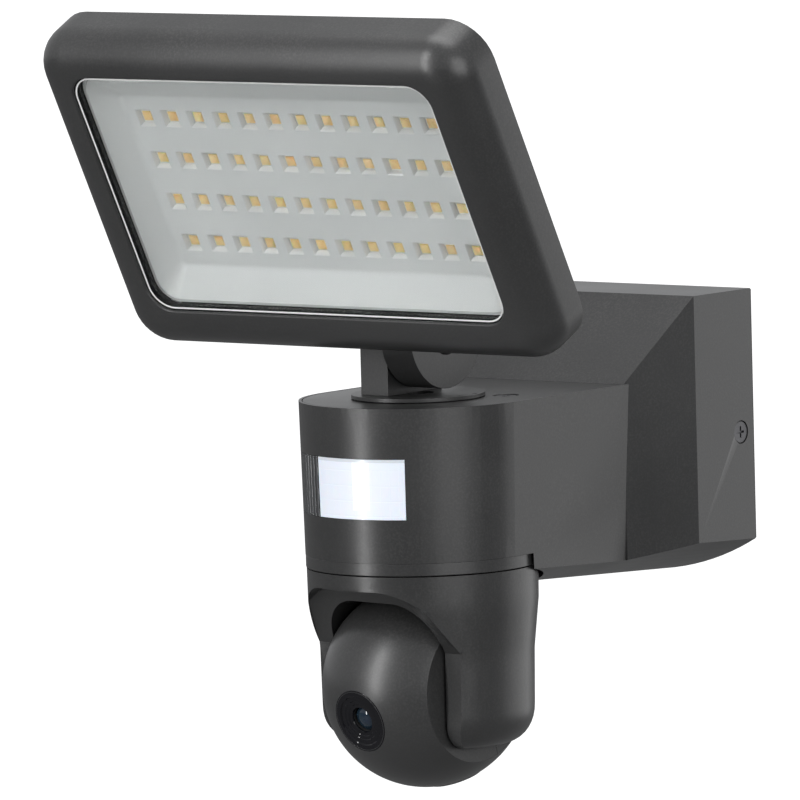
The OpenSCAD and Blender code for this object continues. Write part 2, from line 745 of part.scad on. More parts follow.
axle_r = 4;
axle_deep = 6;
cable_way_r = 5;
flange_r = 18;
flange_h = 3;
spindle_screw_at = 13.5;
spindle_screw_r = 1.25;
spindle_screw_deep = 4;
retainer_t = 1.5;

module yoke() color(paint) at_yoke() difference() {
    yoke_outer();
    intersection() {
        translate([0, 0, ball_z]) sphere(r = ball_r + ball_gap);
        translate([-yoke_open, -far / 2, ball_z - far / 2]) cube([2 * yoke_open, far, far]);
    }
    front_prism(yoke_open, arch_top, arch_r, 0, far / 2);
    hull() {
        front_prism(scoop_w, scoop_top, scoop_r, scoop_y, far / 4);
        translate([-scoop_w, -arm_front - eps, ball_z - 2 * ball_r])
            cube([2 * scoop_w, eps, 2 * ball_r + scoop_top - scoop_r - ball_z]);
    }
    arm_corner();
    translate([0, 0, ball_z]) {
        both_sides() along_x(yoke_open - eps) cylinder(r = axle_r + snug, h = axle_deep + eps);
        cylinder(r = cable_way_r, h = far / 2);
    }
    spindle_holes() translate([0, 0, yoke_top - spindle_screw_deep])
        cylinder(r = spindle_screw_r + 0.05, h = spindle_screw_deep + eps, $fn = 32);
}

module spindle_holes() for (a = [30 : 120 : 360]) rotate([0, 0, a]) translate([spindle_screw_at, 0, 0])
    children();

module pan_spindle() color(steel) at_yoke() difference() {
    translate([0, 0, yoke_top]) {
        cylinder(r = flange_r, h = flange_h);
        cylinder(r = spindle_r, h = gear_z + gear_h + 3 - yoke_top);
    }
    translate([0, 0, yoke_top - eps]) cylinder(r = cable_way_r, h = far);
    spindle_holes() translate([0, 0, yoke_top - eps])
        cylinder(r = spindle_screw_r + gap, h = flange_h + 2 * eps, $fn = 32);
}

module spindle_screws() color(steel) at_yoke(yoke_top + flange_h - 1.2) spindle_holes()
    cylinder(r = spindle_screw_r, h = 1.1, $fn = 32);

module pan_gear() color("ivory") at_pan() translate([0, 0, gear_z])
    gear(pan_teeth, pan_mod, gear_h, spindle_r + snug);

module pan_retainer() color(steel) at_pan() translate([0, 0, gear_z + gear_h + 0.1])
    tube(spindle_r + 2 * retainer_t, spindle_r + snug, retainer_t);

tilt_mod = 0.8;
tilt_teeth = 24;
tilt_pinion_teeth = 10;
tilt_centres = tilt_mod * (tilt_teeth + tilt_pinion_teeth) / 2;
tilt_gear_t = 3;
ball_wall = 2.5;
axle_in = ball_flat - ball_wall - 4.5;

module tilt_axles() color(steel) in_ball() both_sides()
    along_x(axle_in) cylinder(r = axle_r, h = yoke_open + axle_deep - 0.2 - axle_in);

module tilt_gear() color("ivory") in_ball() along_x(-axle_in - tilt_gear_t - 0.4)
    gear(tilt_teeth, tilt_mod, tilt_gear_t, axle_r + snug);

// ---------------------------------------------------------------- camera ball
// in_ball(): the lens looks along -Y

split_y = 2;
cap_w = 27;
cap_d = 18;
eye_y = -sqrt(ball_r * ball_r - eye_r * eye_r);

// ball between its flat sides, drawn in by d
module ball_form(d) rotate([0, 90, 0]) rotate_extrude() intersection() {
    circle(r = ball_r - d);
    translate([0, d - ball_flat]) square([ball_r, 2 * (ball_flat - d)]);
}

module cap_prism(g) translate([0, 0, -ball_r - eps]) linear_extrude(9)
    union() {
        square([cap_w - cap_d / 2 + 2 * g, cap_d + 2 * g], center = true);
        for (s = [-1, 1]) translate([s * (cap_w - cap_d) / 2, 0]) circle(r = cap_d / 2 + g);
    }

// openings in the ball's shells: axles, lens window and card cover
module ball_holes() {
    both_sides() along_x(ball_flat - ball_wall - eps)
        cylinder(r = axle_r + run, h = ball_wall + 2 * eps);
    rotate([90, 0, 0]) cylinder(r = eye_r, h = far);
    cap_prism(0.15);
}

module ball_front() color(paint) in_ball() difference() {
    ball_form(0);
    ball_form(ball_wall);
    ball_holes();
    translate([-far / 2, split_y, -far / 2]) cube([far, far, far]);
}

module ball_rear() color(paint) in_ball() difference() {
    hull() ball_form(0, $fn = 72);
    hull() ball_form(ball_wall, $fn = 72);
    ball_holes();
    translate([-far / 2, split_y + fit - far, -far / 2]) cube([far, far, far]);
}

module card_cover() color(dark_paint) in_ball() intersection() {
    difference() {
        sphere(r = ball_r - 0.1, $fn = 120);
        sphere(r = ball_r - ball_wall, $fn = 120);
    }
    cap_prism(0);
}

module eye_axis(y) translate([0, y, 0]) rotate([90, 0, 0]) children();
module lens_window() color(black_part) in_ball() eye_axis(eye_y + 1.9) difference() {
    cylinder(r = eye_r - fit, h = 1.5);
    translate([0, 0, -eps]) cylinder(r = 4.4, h = 3);
}
module lens_barrel() color(black_part) in_ball() eye_axis(-12) difference() {
    cylinder(r = 7.5, h = -eye_y - 2.1 - 12);
    translate([0, 0, -eps]) cylinder(r = 4.6, h = far);
}
module lens_glass() color("midnightblue") in_ball() eye_axis(eye_y + 3.6) intersection() {
    cylinder(r = 4.3, h = 2.8);
    translate([0, 0, -5.2]) sphere(r = 8);
}
module camera_board() color(board_green) in_ball() translate([-13, -11.9, -13]) cube([26, 1.6, 26]);
module image_sensor() color(black_part) in_ball() translate([-3.1, -13, -3.1]) cube([6.2, 1.05, 6.2]);

tilt_gear_x = -axle_in - tilt_gear_t - 0.4;
motor_r = 7.5;
motor_l = 15;
pinion_shaft_r = 1.5;

module at_tilt_pinion(x) translate([0, tilt_centres, 0]) along_x(x) children();

module tilt_motor() color(steel) in_ball() at_tilt_pinion(tilt_gear_x + tilt_gear_t + 1) difference() {
    cylinder(r = motor_r, h = motor_l);
    translate([0, 0, -eps]) cylinder(r = pinion_shaft_r + run, h = 6);
}

module tilt_pinion() color("ivory") in_ball() at_tilt_pinion(tilt_gear_x) {
    gear(tilt_pinion_teeth, tilt_mod, tilt_gear_t, 0);
    cylinder(r = pinion_shaft_r, h = tilt_gear_t + 5);
}

main_housing();
top_cover();
cover_screws();
wall_plate();
wall_gasket();
side_screws();
collar_ring();
motion_lens();
sensor_window();
motion_sensor();
sensor_board();
main_board();
power_board();
board_spacers();
terminal_block();
cable_grommet();
antenna();
speaker();
microphone();
pan_motor();
pan_bearing();
turntable();
spindle_ring();
hinge_post();
post_screws();
hinge_bolt();
hinge_nut();
hinge_washer();
head_frame();
heat_sink();
front_glass();
glass_gasket();
reflector();
led_board();
leds();
hinge_bracket();
bracket_bolts();
head_screws();
yoke();
pan_spindle();
spindle_screws();
pan_gear();
pan_retainer();
tilt_axles();
tilt_gear();
ball_front();
ball_rear();
card_cover();
lens_window();
lens_barrel();
lens_glass();
camera_board();
image_sensor();
tilt_motor();
pan_pinion();
tilt_pinion();
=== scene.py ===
import json
from math import asin, cos, pi, radians, sin, sqrt

import bmesh
import bpy
from mathutils import Matrix, Vector


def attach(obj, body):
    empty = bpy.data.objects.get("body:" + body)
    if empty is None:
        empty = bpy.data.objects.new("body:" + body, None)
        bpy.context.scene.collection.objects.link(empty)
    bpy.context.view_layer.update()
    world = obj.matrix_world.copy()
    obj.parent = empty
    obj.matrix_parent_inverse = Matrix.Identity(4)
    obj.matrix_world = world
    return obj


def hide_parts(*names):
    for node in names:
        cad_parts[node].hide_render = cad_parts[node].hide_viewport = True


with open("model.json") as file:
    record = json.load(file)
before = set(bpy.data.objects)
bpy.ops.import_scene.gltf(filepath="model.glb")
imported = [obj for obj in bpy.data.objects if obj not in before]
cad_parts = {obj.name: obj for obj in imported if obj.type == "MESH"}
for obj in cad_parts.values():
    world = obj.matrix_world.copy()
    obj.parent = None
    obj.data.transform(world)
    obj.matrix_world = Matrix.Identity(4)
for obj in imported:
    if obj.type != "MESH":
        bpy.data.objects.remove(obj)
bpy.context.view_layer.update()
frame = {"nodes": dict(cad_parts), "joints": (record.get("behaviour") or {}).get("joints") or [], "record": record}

MM = 0.001
nodes = frame["nodes"]
record = frame["record"]
body_of = {node: body for body, held in record["behaviour"]["bodies"].items() for node in held}
slot_of = {subpart["node"]: subpart["material_slot"] for subpart in record["subparts"]}
pivot = {joint["name"]: Vector(joint["pos_m"]) for joint in frame["joints"]}

REACH = -pivot["camera_pan"].y
HEAD_TILT = radians(27.6)
LIGHTS_UP = 73.5 * MM
LIGHTS_OUT = 23.5 * MM
CAMERA_TURN = radians(6.5)
LENS_TILT = radians(16)

# the head's frame: X to the right, Y up the face, Z out of the face, origin amid the lights
head_place = (Matrix.Translation(pivot["flood_tilt"]) @ Matrix.Rotation(pi / 2 + HEAD_TILT, 4, "X")
              @ Matrix.Translation((0, LIGHTS_UP, LIGHTS_OUT)))
# the ball's frame, with Z along the lens and the origin at the ball's centre
lens_place = (Matrix.Translation(pivot["camera_tilt"]) @ Matrix.Rotation(-CAMERA_TURN, 4, "Z")
              @ Matrix.Rotation(pi / 2 + LENS_TILT, 4, "X"))


# ---------------------------------------------------------------- camera and stage

def unit(azimuth, elevation):
    """Direction from the object towards a viewer at that azimuth and elevation."""
    return Vector((sin(azimuth) * cos(elevation), -cos(azimuth) * cos(elevation), sin(elevation)))


def make_camera():
    """A long lens to the right of the object and slightly above it."""
    azimuth, elevation, roll = radians(38.0), radians(5.62), radians(-1.5)
    distance = 3.3137
    target = Vector((-7.96 * MM, -127 * MM, 14.66 * MM))
    back = unit(azimuth, elevation)
    right = Vector((cos(azimuth), sin(azimuth), 0))
    up = back.cross(right)
    turned_right = right * cos(roll) + up * sin(roll)
    turned_up = up * cos(roll) - right * sin(roll)
    data = bpy.data.cameras.new("camera")
    data.lens = 434.7
    data.sensor_width = 36
    data.clip_end = 20
    camera = bpy.data.objects.new("camera", data)
    bpy.context.scene.collection.objects.link(camera)
    turn = Matrix((turned_right, turned_up, back)).transposed().to_4x4()
    camera.matrix_world = Matrix.Translation(target + back * distance) @ turn
    bpy.context.scene.camera = camera


def add_area_light(name, azimuth, elevation, distance, size, watts):
    """A softbox at that azimuth and elevation, turned to the object's middle."""
    data = bpy.data.lights.new(name, "AREA")
    data.shape = "RECTANGLE"
    data.size, data.size_y = size
    data.energy = watts
    light = bpy.data.objects.new(name, data)
    bpy.context.scene.collection.objects.link(light)
    centre = Vector((0, -0.12, 0.02))
    place = centre + unit(radians(azimuth), radians(elevation)) * distance
    light.location = place
    light.rotation_euler = (place - centre).to_track_quat("Z", "Y").to_euler()


def make_floor():
    """Pale floor, white as seen and dim as a reflector of light."""
    half_width, level = 12, -0.6
    mesh = bpy.data.meshes.new("floor")
    bm = bmesh.new()
    bmesh.ops.create_grid(bm, x_segments=1, y_segments=1, size=half_width)
    bmesh.ops.translate(bm, vec=(0, 0, level), verts=bm.verts)
    bm.to_mesh(mesh)
    bm.free()
    floor = bpy.data.objects.new("floor", mesh)
    bpy.context.scene.collection.objects.link(floor)
    material = bpy.data.materials.new("pale_floor")
    material.use_nodes = True
    shader = material.node_tree.nodes["Principled BSDF"]
    shader.inputs["Base Color"].default_value = (0.2, 0.2, 0.2, 1)
    shader.inputs["Roughness"].default_value = 0.9
    shader.inputs["Emission Color"].default_value = (1, 1, 1, 1)
    path = material.node_tree.nodes.new("ShaderNodeLightPath")
    material.node_tree.links.new(path.outputs["Is Camera Ray"], shader.inputs["Emission Strength"])
    mesh.materials.append(material)


def make_studio():
    """A white sweep behind the object, dimmer as a light than it looks, and four softboxes."""
    world = bpy.data.worlds.new("studio")
    world.use_nodes = True
    tree = world.node_tree
    fill = tree.nodes["Background"]
    fill.inputs["Color"].default_value = (0.97, 0.98, 1, 1)
    fill.inputs["Strength"].default_value = 0.65
    sweep = tree.nodes.new("ShaderNodeBackground")
    sweep.inputs["Color"].default_value = (1, 1, 1, 1)
    sweep.inputs["Strength"].default_value = 1.0
    path = tree.nodes.new("ShaderNodeLightPath")
    choice = tree.nodes.new("ShaderNodeMixShader")
    tree.links.new(path.outputs["Is Camera Ray"], choice.inputs["Fac"])
    tree.links.new(fill.outputs["Background"], choice.inputs[1])
    tree.links.new(sweep.outputs["Background"], choice.inputs[2])
    tree.links.new(choice.outputs["Shader"], tree.nodes["World Output"].inputs["Surface"])
    bpy.context.scene.world = world
    bpy.context.scene.view_settings.view_transform = "Standard"
    add_area_light("left_box", -20, 14, 1.6, (0.14, 1.5), 19)
    add_area_light("right_box", 156, 2, 2.0, (1.9, 2.2), 16)
    add_area_light("fill_box", 68, 12, 2.0, (1.4, 1.4), 19)
    add_area_light("top_box", 0, 86, 1.6, (1.4, 0.9), 17)


# ---------------------------------------------------------------- shader groups

def wire(tree, source, target):
    """Links an output to an input."""
    tree.links.new(source, target)


def add_node(tree, kind, **settings):
    """A new node with those settings."""
    node = tree.nodes.new(kind)
    for setting, value in settings.items():
        setattr(node, setting, value)
    return node


def new_group(name, inputs, outputs):
    """A shader group with float inputs and their usual values, and float outputs."""
    group = bpy.data.node_groups.new(name, "ShaderNodeTree")
    for label, value in inputs.items():
        socket = group.interface.new_socket(label, in_out="INPUT", socket_type="NodeSocketFloat")
        socket.default_value = value
    for label in outputs:
        group.interface.new_socket(label, in_out="OUTPUT", socket_type="NodeSocketFloat")
    return group, add_node(group, "NodeGroupInput"), add_node(group, "NodeGroupOutput")


def math(tree, operation, first, second=None, clamp=False):
    """A Math node whose inputs are sockets or plain numbers; gives its output."""
    node = add_node(tree, "ShaderNodeMath", operation=operation, use_clamp=clamp)
    for slot, value in enumerate((first, second)):
        if isinstance(value, (int, float)):
            node.inputs[slot].default_value = value
        elif value is not None:
            wire(tree, value, node.inputs[slot])
    return node.outputs[0]


def object_noise(tree, scale, detail, stretch=(1, 1, 1)):
    """Noise on Object coordinates; gives its value."""
    place = add_node(tree, "ShaderNodeTexCoord")
    mapping = add_node(tree, "ShaderNodeMapping")
    mapping.inputs["Scale"].default_value = stretch
    noise = add_node(tree, "ShaderNodeTexNoise")
    noise.inputs["Detail"].default_value = detail
    wire(tree, place.outputs["Object"], mapping.inputs["Vector"])
    wire(tree, mapping.outputs["Vector"], noise.inputs["Vector"])
    if isinstance(scale, (int, float)):
        noise.inputs["Scale"].default_value = scale
    else:
        wire(tree, scale, noise.inputs["Scale"])
    return noise.outputs[0]


def make_grain_group():
    """Moulded or sprayed texture: Grain for the bump, Mottle for slow changes of tone."""
    group, given, out = new_group("grain", {"Scale": 900.0, "Mottle Scale": 14.0},
                                  ("Grain", "Mottle"))
    fine = object_noise(group, given.outputs["Scale"], 3)
    coarse = object_noise(group, math(group, "MULTIPLY", given.outputs["Scale"], 0.31), 2)
    wire(group, math(group, "ADD", math(group, "MULTIPLY", fine, 0.6),
                     math(group, "MULTIPLY", coarse, 0.4)), out.inputs["Grain"])
    wire(group, object_noise(group, given.outputs["Mottle Scale"], 4), out.inputs["Mottle"])
    return group


def make_dust_group():
    """Settled dust: more of it on faces that look up, in patches."""
    group, given, out = new_group("dust", {"Amount": 0.2, "Patch Scale": 60.0}, ("Dust",))
    geometry = add_node(group, "ShaderNodeNewGeometry")
    parts = add_node(group, "ShaderNodeSeparateXYZ")
    wire(group, geometry.outputs["Normal"], parts.inputs[0])
    facing = math(group, "MULTIPLY_ADD", parts.outputs["Z"], 0.5, True)
    patch = object_noise(group, given.outputs["Patch Scale"], 6)
    speck = object_noise(group, 1400, 1)
    spotted = math(group, "MULTIPLY", math(group, "SUBTRACT", speck, 0.42, True), 3, True)
    settled = math(group, "MULTIPLY", math(group, "MULTIPLY", facing, patch), spotted)
    dust = math(group, "MULTIPLY", settled, given.outputs["Amount"], True)
    wire(group, dust, out.inputs["Dust"])
    return group


def make_brushed_group():
    """Fine lines drawn along one axis."""
    group, given, out = new_group("brushed_lines", {"Scale": 60.0}, ("Lines",))
    lines = object_noise(group, given.outputs["Scale"], 4, stretch=(1, 40, 40))
    wire(group, lines, out.inputs["Lines"])
    return group


def make_azimuth_group():
    """Angle about the pan axis in degrees, from straight ahead to the right."""
    group, given, out = new_group("azimuth", {}, ("Degrees",))
    place = add_node(group, "ShaderNodeTexCoord")
    parts = add_node(group, "ShaderNodeSeparateXYZ")
    wire(group, place.outputs["Object"], parts.inputs[0])
    ahead = math(group, "SUBTRACT", -REACH, parts.outputs["Y"])
    turned = math(group, "ARCTAN2", parts.outputs["X"], ahead)
    wire(group, math(group, "DEGREES", turned), out.inputs["Degrees"])
    return group


grain_group = make_grain_group()
dust_group = make_dust_group()
brushed_group = make_brushed_group()
azimuth_group = make_azimuth_group()


def use_group(tree, group, **values):
    """Places a group, with values for the inputs of those names."""
    node = add_node(tree, "ShaderNodeGroup", node_tree=group)
    for label, value in values.items():
        node.inputs[label.replace("_", " ")].default_value = value
    return node


# ---------------------------------------------------------------- materials

def start_material(name, colour, roughness, **values):
    """A Principled material; values go straight to the sockets of those names."""
    material = bpy.data.materials.new(name)
    material.use_nodes = True
    shader = material.node_tree.nodes["Principled BSDF"]
    shader.inputs["Base Color"].default_value = (*colour, 1)
    shader.inputs["Roughness"].default_value = roughness
    for label, value in values.items():
        shader.inputs[label.replace("_", " ")].default_value = value
    return material, material.node_tree, shader


def mix_colours(tree, factor, first, second):
    """Mixes two colours, each a socket or a plain colour; gives the result."""
    mix = add_node(tree, "ShaderNodeMix", data_type="RGBA")
    for slot, colour in ((6, first), (7, second)):
        if isinstance(colour, tuple):
            mix.inputs[slot].default_value = (*colour, 1)
        else:
            wire(tree, colour, mix.inputs[slot])
    wire(tree, factor, mix.inputs[0])
    return mix.outputs[2]


def map_range(tree, value, low, high, to_low, to_high):
    """Carries a value from one range to another, held at the ends; gives its output."""
    node = add_node(tree, "ShaderNodeMapRange")
    ends = {"From Min": low, "From Max": high, "To Min": to_low, "To Max": to_high}
    for label, number in ends.items():
        node.inputs[label].default_value = number
    wire(tree, value, node.inputs["Value"])
    return node.outputs[0]


def add_bump(tree, shader, height, depth):
    """Raises the surface by height times depth, in metres."""
    bump = add_node(tree, "ShaderNodeBump")
    bump.inputs["Strength"].default_value = 1.0
    bump.inputs["Distance"].default_value = depth
    wire(tree, height, bump.inputs["Height"])
    wire(tree, bump.outputs["Normal"], shader.inputs["Normal"])


DUST_GREY = (0.42, 0.41, 0.39)


def coated(name, colour, roughness, grain_scale, grain_depth, dust, tone=0.12):
    """Moulded or painted surface with grain, slow tone changes and a little dust."""
    material, tree, shader = start_material(name, colour, roughness)
    grain = use_group(tree, grain_group, Scale=grain_scale)
    dusty = use_group(tree, dust_group, Amount=dust)
    light = tuple(min(1, channel * (1 + tone)) for channel in colour)
    dark = tuple(channel * (1 - tone) for channel in colour)
    blend = map_range(tree, grain.outputs["Mottle"], 0.35, 0.65, 0, 1)
    base = mix_colours(tree, blend, dark, light)
    base = mix_colours(tree, dusty.outputs["Dust"], base, DUST_GREY)
    wire(tree, base, shader.inputs["Base Color"])
    polish = map_range(tree, grain.outputs["Mottle"], 0.3, 0.7, roughness - 0.05, roughness + 0.05)
    wire(tree, polish, shader.inputs["Roughness"])
    add_bump(tree, shader, grain.outputs["Grain"], grain_depth)
    return material


def brushed_metal(name, colour, roughness, scale=60):
    """Bare or plated metal with fine drawn lines and cloudy tone."""
    material, tree, shader = start_material(name, colour, roughness, Metallic=1.0)
    lines = use_group(tree, brushed_group, Scale=scale)
    grain = use_group(tree, grain_group, Scale=300, Mottle_Scale=90)
    dark = tuple(channel * 0.72 for channel in colour)
    wire(tree, mix_colours(tree, grain.outputs["Mottle"], dark, colour),
         shader.inputs["Base Color"])
    wire(tree, map_range(tree, lines.outputs["Lines"], 0.3, 0.7, roughness - 0.1, roughness + 0.12),
         shader.inputs["Roughness"])
    add_bump(tree, shader, lines.outputs["Lines"], 0.02 * MM)
    return material


def circuit_board(name, mask_colour, track_colour):
    """Solder mask over square tracks, with tinned pads."""
    material, tree, shader = start_material(name, mask_colour, 0.35, Coat_Weight=0.3)
    place = add_node(tree, "ShaderNodeTexCoord")
    tracks = add_node(tree, "ShaderNodeTexVoronoi", feature="DISTANCE_TO_EDGE")
    tracks.inputs["Scale"].default_value = 260
    tracks.inputs["Randomness"].default_value = 0.55
    pads = add_node(tree, "ShaderNodeTexVoronoi", feature="F1", distance="CHEBYCHEV")
    pads.inputs["Scale"].default_value = 420
    pads.inputs["Randomness"].default_value = 0.8
    for pattern in (tracks, pads):
        wire(tree, place.outputs["Object"], pattern.inputs["Vector"])
    track = math(tree, "LESS_THAN", tracks.outputs["Distance"], 0.07)
    pad = math(tree, "LESS_THAN", pads.outputs["Distance"], 0.16)
    base = mix_colours(tree, track, mask_colour, track_colour)
    tinned = (0.62, 0.6, 0.55)
    base = mix_colours(tree, pad, base, tinned)
    wire(tree, base, shader.inputs["Base Color"])
    wire(tree, map_range(tree, pad, 0, 1, 0.38, 0.25), shader.inputs["Roughness"])
    add_bump(tree, shader, math(tree, "MAXIMUM", track, pad), 0.00004)
    return material


def milky_lens():
    """White sensor lens: faint facets all over, and one upright band painted brighter as a painted highlight."""
    material, tree, shader = start_material("milky_lens", (0.74, 0.78, 0.86), 0.32,
                                            Coat_Weight=0.25, Subsurface_Weight=0.15,
                                            Subsurface_Scale=0.002)
    azimuth = use_group(tree, azimuth_group).outputs["Degrees"]
    place = add_node(tree, "ShaderNodeTexCoord")
    parts = add_node(tree, "ShaderNodeSeparateXYZ")
    wire(tree, place.outputs["Object"], parts.inputs[0])
    facet_degrees, facet_height = 4.6, 5.2 * MM
    # azimuth, half width and lower edge of a painted highlight: an upright band where the left softbox reflects
    highlight_centre, highlight_half, highlight_low = 7.8, 4.6, -18.8 * MM
    upper_band_low = -2.4 * MM
    height = parts.outputs["Z"]
    across = math(tree, "PINGPONG", math(tree, "MULTIPLY", azimuth, 1 / facet_degrees), 0.5)
    upward = math(tree, "PINGPONG", math(tree, "MULTIPLY", height, 1 / facet_height), 0.5)
    off_centre = math(tree, "ABSOLUTE", math(tree, "SUBTRACT", azimuth, highlight_centre))
    over_edge = math(tree, "GREATER_THAN", height, highlight_low)
    painted_highlight_band = math(tree, "MULTIPLY", math(tree, "LESS_THAN", off_centre, highlight_half), over_edge)
    upper_band = math(tree, "GREATER_THAN", height, upper_band_low)
    # painted highlight: the upright band is coloured lighter
    base = mix_colours(tree, painted_highlight_band, (0.74, 0.78, 0.86), (0.90, 0.94, 1.0))
    # the lens is coloured darker above a set height near its top
    base = mix_colours(tree, upper_band, base, (0.60, 0.63, 0.68))
    wire(tree, base, shader.inputs["Base Color"])
    facets = math(tree, "MINIMUM", math(tree, "MULTIPLY", across, 2.0, True),
                  math(tree, "MULTIPLY", upward, 2.0, True))
    edges = map_range(tree, facets, 0.0, 0.12, 0.0, 1.0)
    wire(tree, map_range(tree, edges, 0, 1, 0.45, 0.3), shader.inputs["Roughness"])
    add_bump(tree, shader, edges, 0.00003)
    return material


def ribbed_gloss():
    """Dark glossy sensor window with upright ribs, their grooves painted darker as painted shade and their crests
    lighter as a painted highlight.
    """
    material, tree, shader = start_material("ribbed_gloss", (0.02, 0.02, 0.021), 0.22,
                                            Coat_Weight=0.2, Coat_Roughness=0.08)
    azimuth = use_group(tree, azimuth_group).outputs["Degrees"]
    rib_degrees = 3.4
    rib = math(tree, "PINGPONG", math(tree, "MULTIPLY", azimuth, 1 / rib_degrees), 0.5)
    groove_shade, crest_highlight = (0.012, 0.012, 0.013), (0.06, 0.063, 0.068)
    # painted shade in the grooves and a painted highlight on the crests of the ribs
    wire(tree, mix_colours(tree, math(tree, "MULTIPLY", rib, 2, True), groove_shade, crest_highlight),
         shader.inputs["Base Color"])
    add_bump(tree, shader, math(tree, "SINE", math(tree, "MULTIPLY", rib, pi)), 0.0007)
    return material


def black_gloss():
    """Polished black lens face with faint moulded rings."""
    material, tree, shader = start_material("black_gloss", (0.004, 0.004, 0.005), 0.07,
                                            Specular_IOR_Level=0.22)
    grain = use_group(tree, grain_group, Scale=70, Mottle_Scale=240)
    wire(tree, map_range(tree, grain.outputs["Mottle"], 0.4, 0.7, 0.05, 0.14),
         shader.inputs["Roughness"])
    darker, lighter = (0.003, 0.003, 0.004), (0.006, 0.006, 0.008)
    wire(tree, mix_colours(tree, grain.outputs["Grain"], darker, lighter),
         shader.inputs["Base Color"])
    return material


def window_glass():
    """Clear tempered glass with a trace of smear."""
    material, tree, shader = start_material("window_glass", (0.97, 0.99, 0.985), 0.02,
                                            Transmission_Weight=1.0, IOR=1.12)
    grain = use_group(tree, grain_group, Scale=25, Mottle_Scale=9)
    wire(tree, map_range(tree, grain.outputs["Mottle"], 0.3, 0.7, 0.0, 0.05),
         shader.inputs["Roughness"])
    return material


def reflector_white():
    """White sprayed sheet, slightly uneven in tone and shine."""
    material, tree, shader = start_material("reflector_white", (0.80, 0.80, 0.79), 0.34,
                                            Coat_Weight=0.15)
    grain = use_group(tree, grain_group, Scale=500, Mottle_Scale=22)
    wire(tree, mix_colours(tree, grain.outputs["Mottle"], (0.74, 0.74, 0.735), (0.86, 0.86, 0.85)),
         shader.inputs["Base Color"])
    wire(tree, map_range(tree, grain.outputs["Mottle"], 0.3, 0.7, 0.28, 0.42),
         shader.inputs["Roughness"])
    add_bump(tree, shader, grain.outputs["Grain"], 0.00001)
    return material


def phosphor():
    """Warm yellow phosphor, deeper and paler in patches."""
    material, tree, shader = start_material("phosphor", (0.94, 0.68, 0.30), 0.4, Coat_Weight=0.2,
                                            Subsurface_Weight=0.2, Subsurface_Scale=0.0006)
    grain = use_group(tree, grain_group, Scale=1500, Mottle_Scale=300)
    wire(tree, mix_colours(tree, grain.outputs["Mottle"], (0.93, 0.62, 0.24), (0.97, 0.78, 0.46)),
         shader.inputs["Base Color"])
    return material


def lens_coating():
    """Dark coated glass, bluish to green where the coating varies."""
    material, tree, shader = start_material("lens_coating", (0.01, 0.012, 0.03), 0.03,
                                            Specular_IOR_Level=0.45)
    grain = use_group(tree, grain_group, Scale=60, Mottle_Scale=120)
    bluish, greenish = (0.008, 0.01, 0.035), (0.012, 0.03, 0.03)
    wire(tree, mix_colours(tree, grain.outputs["Mottle"], bluish, greenish),
         shader.inputs["Base Color"])
    return material


anthracite = (0.023, 0.0231, 0.0233)
materials = {
    "anthracite_plastic": coated("moulded_anthracite", anthracite, 0.34, 1500, 0.000022, dust=0.10),
    "anthracite_metal": coated("powder_coat", anthracite, 0.36, 1100, 0.00003, dust=0.10),
    "steel": brushed_metal("zinc_plate", (0.60, 0.60, 0.61), 0.32),
    "motor_steel": brushed_metal("drawn_steel", (0.55, 0.55, 0.57), 0.28, scale=35),
    "rubber": coated("rubber", (0.022, 0.022, 0.023), 0.75, 700, 0.00005, dust=0.5),
    "white_lens": milky_lens(),
    "black_gloss": black_gloss(),
    "board_green": circuit_board("green_board", (0.012, 0.12, 0.045), (0.03, 0.22, 0.09)),
    "white_board": circuit_board("white_board", (0.78, 0.78, 0.76), (0.70, 0.70, 0.68)),
    "brass": brushed_metal("brass", (0.78, 0.56, 0.24), 0.3),
    "antenna_film": circuit_board("antenna_film", (0.45, 0.28, 0.06), (0.62, 0.42, 0.14)),
    "pale_plastic": coated("acetal", (0.80, 0.78, 0.72), 0.38, 500, 0.00002, dust=0.1, tone=0.04),
    "clear_glass": window_glass(),
    "reflector_white": reflector_white(),
    "led_phosphor": phosphor(),
    "black_matt": coated("black_matt", (0.012, 0.012, 0.012), 0.6, 900, 0.00003, dust=0.1),
    "lens_coating": lens_coating(),
}
ribbed_window = ribbed_gloss()
blackened_screw = brushed_metal("blackened_screw", (0.11, 0.11, 0.115), 0.38)


# ---------------------------------------------------------------- pieces

MERGE = 0.002 * MM      # points nearer than this are one
EDGE_CREASE = 18        # degrees, on the cleaned copies


def finish_piece(name, bm, like, material=None, place=None, replaces=(), crease=32):
    """An object of the bmesh, with the body, slot and finish of a CAD node; gives the object."""
    bmesh.ops.remove_doubles(bm, verts=bm.verts, dist=MERGE)
    bmesh.ops.recalc_face_normals(bm, faces=bm.faces)
    if place:
        bmesh.ops.transform(bm, matrix=place, verts=bm.verts)
    mesh = bpy.data.meshes.new(name)
    bm.to_mesh(mesh)
    bm.free()
    mesh.materials.append(material or materials[slot_of[like]])
    piece = bpy.data.objects.new(name, mesh)
    bpy.context.scene.collection.objects.link(piece)
    mesh.shade_smooth()
    mesh.set_sharp_from_angle(angle=radians(crease))
    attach(piece, body_of[like])
    if replaces:
        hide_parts(*replaces)
    return piece


def soften(piece, width):
    """Rounds over every edge sharper than the crease angle."""
    bevel = piece.modifiers.new("softened_edges", "BEVEL")
    bevel.width = width
    bevel.segments = 2
    bevel.limit_method = "ANGLE"
    bevel.angle_limit = radians(EDGE_CREASE)
    bevel.harden_normals = True


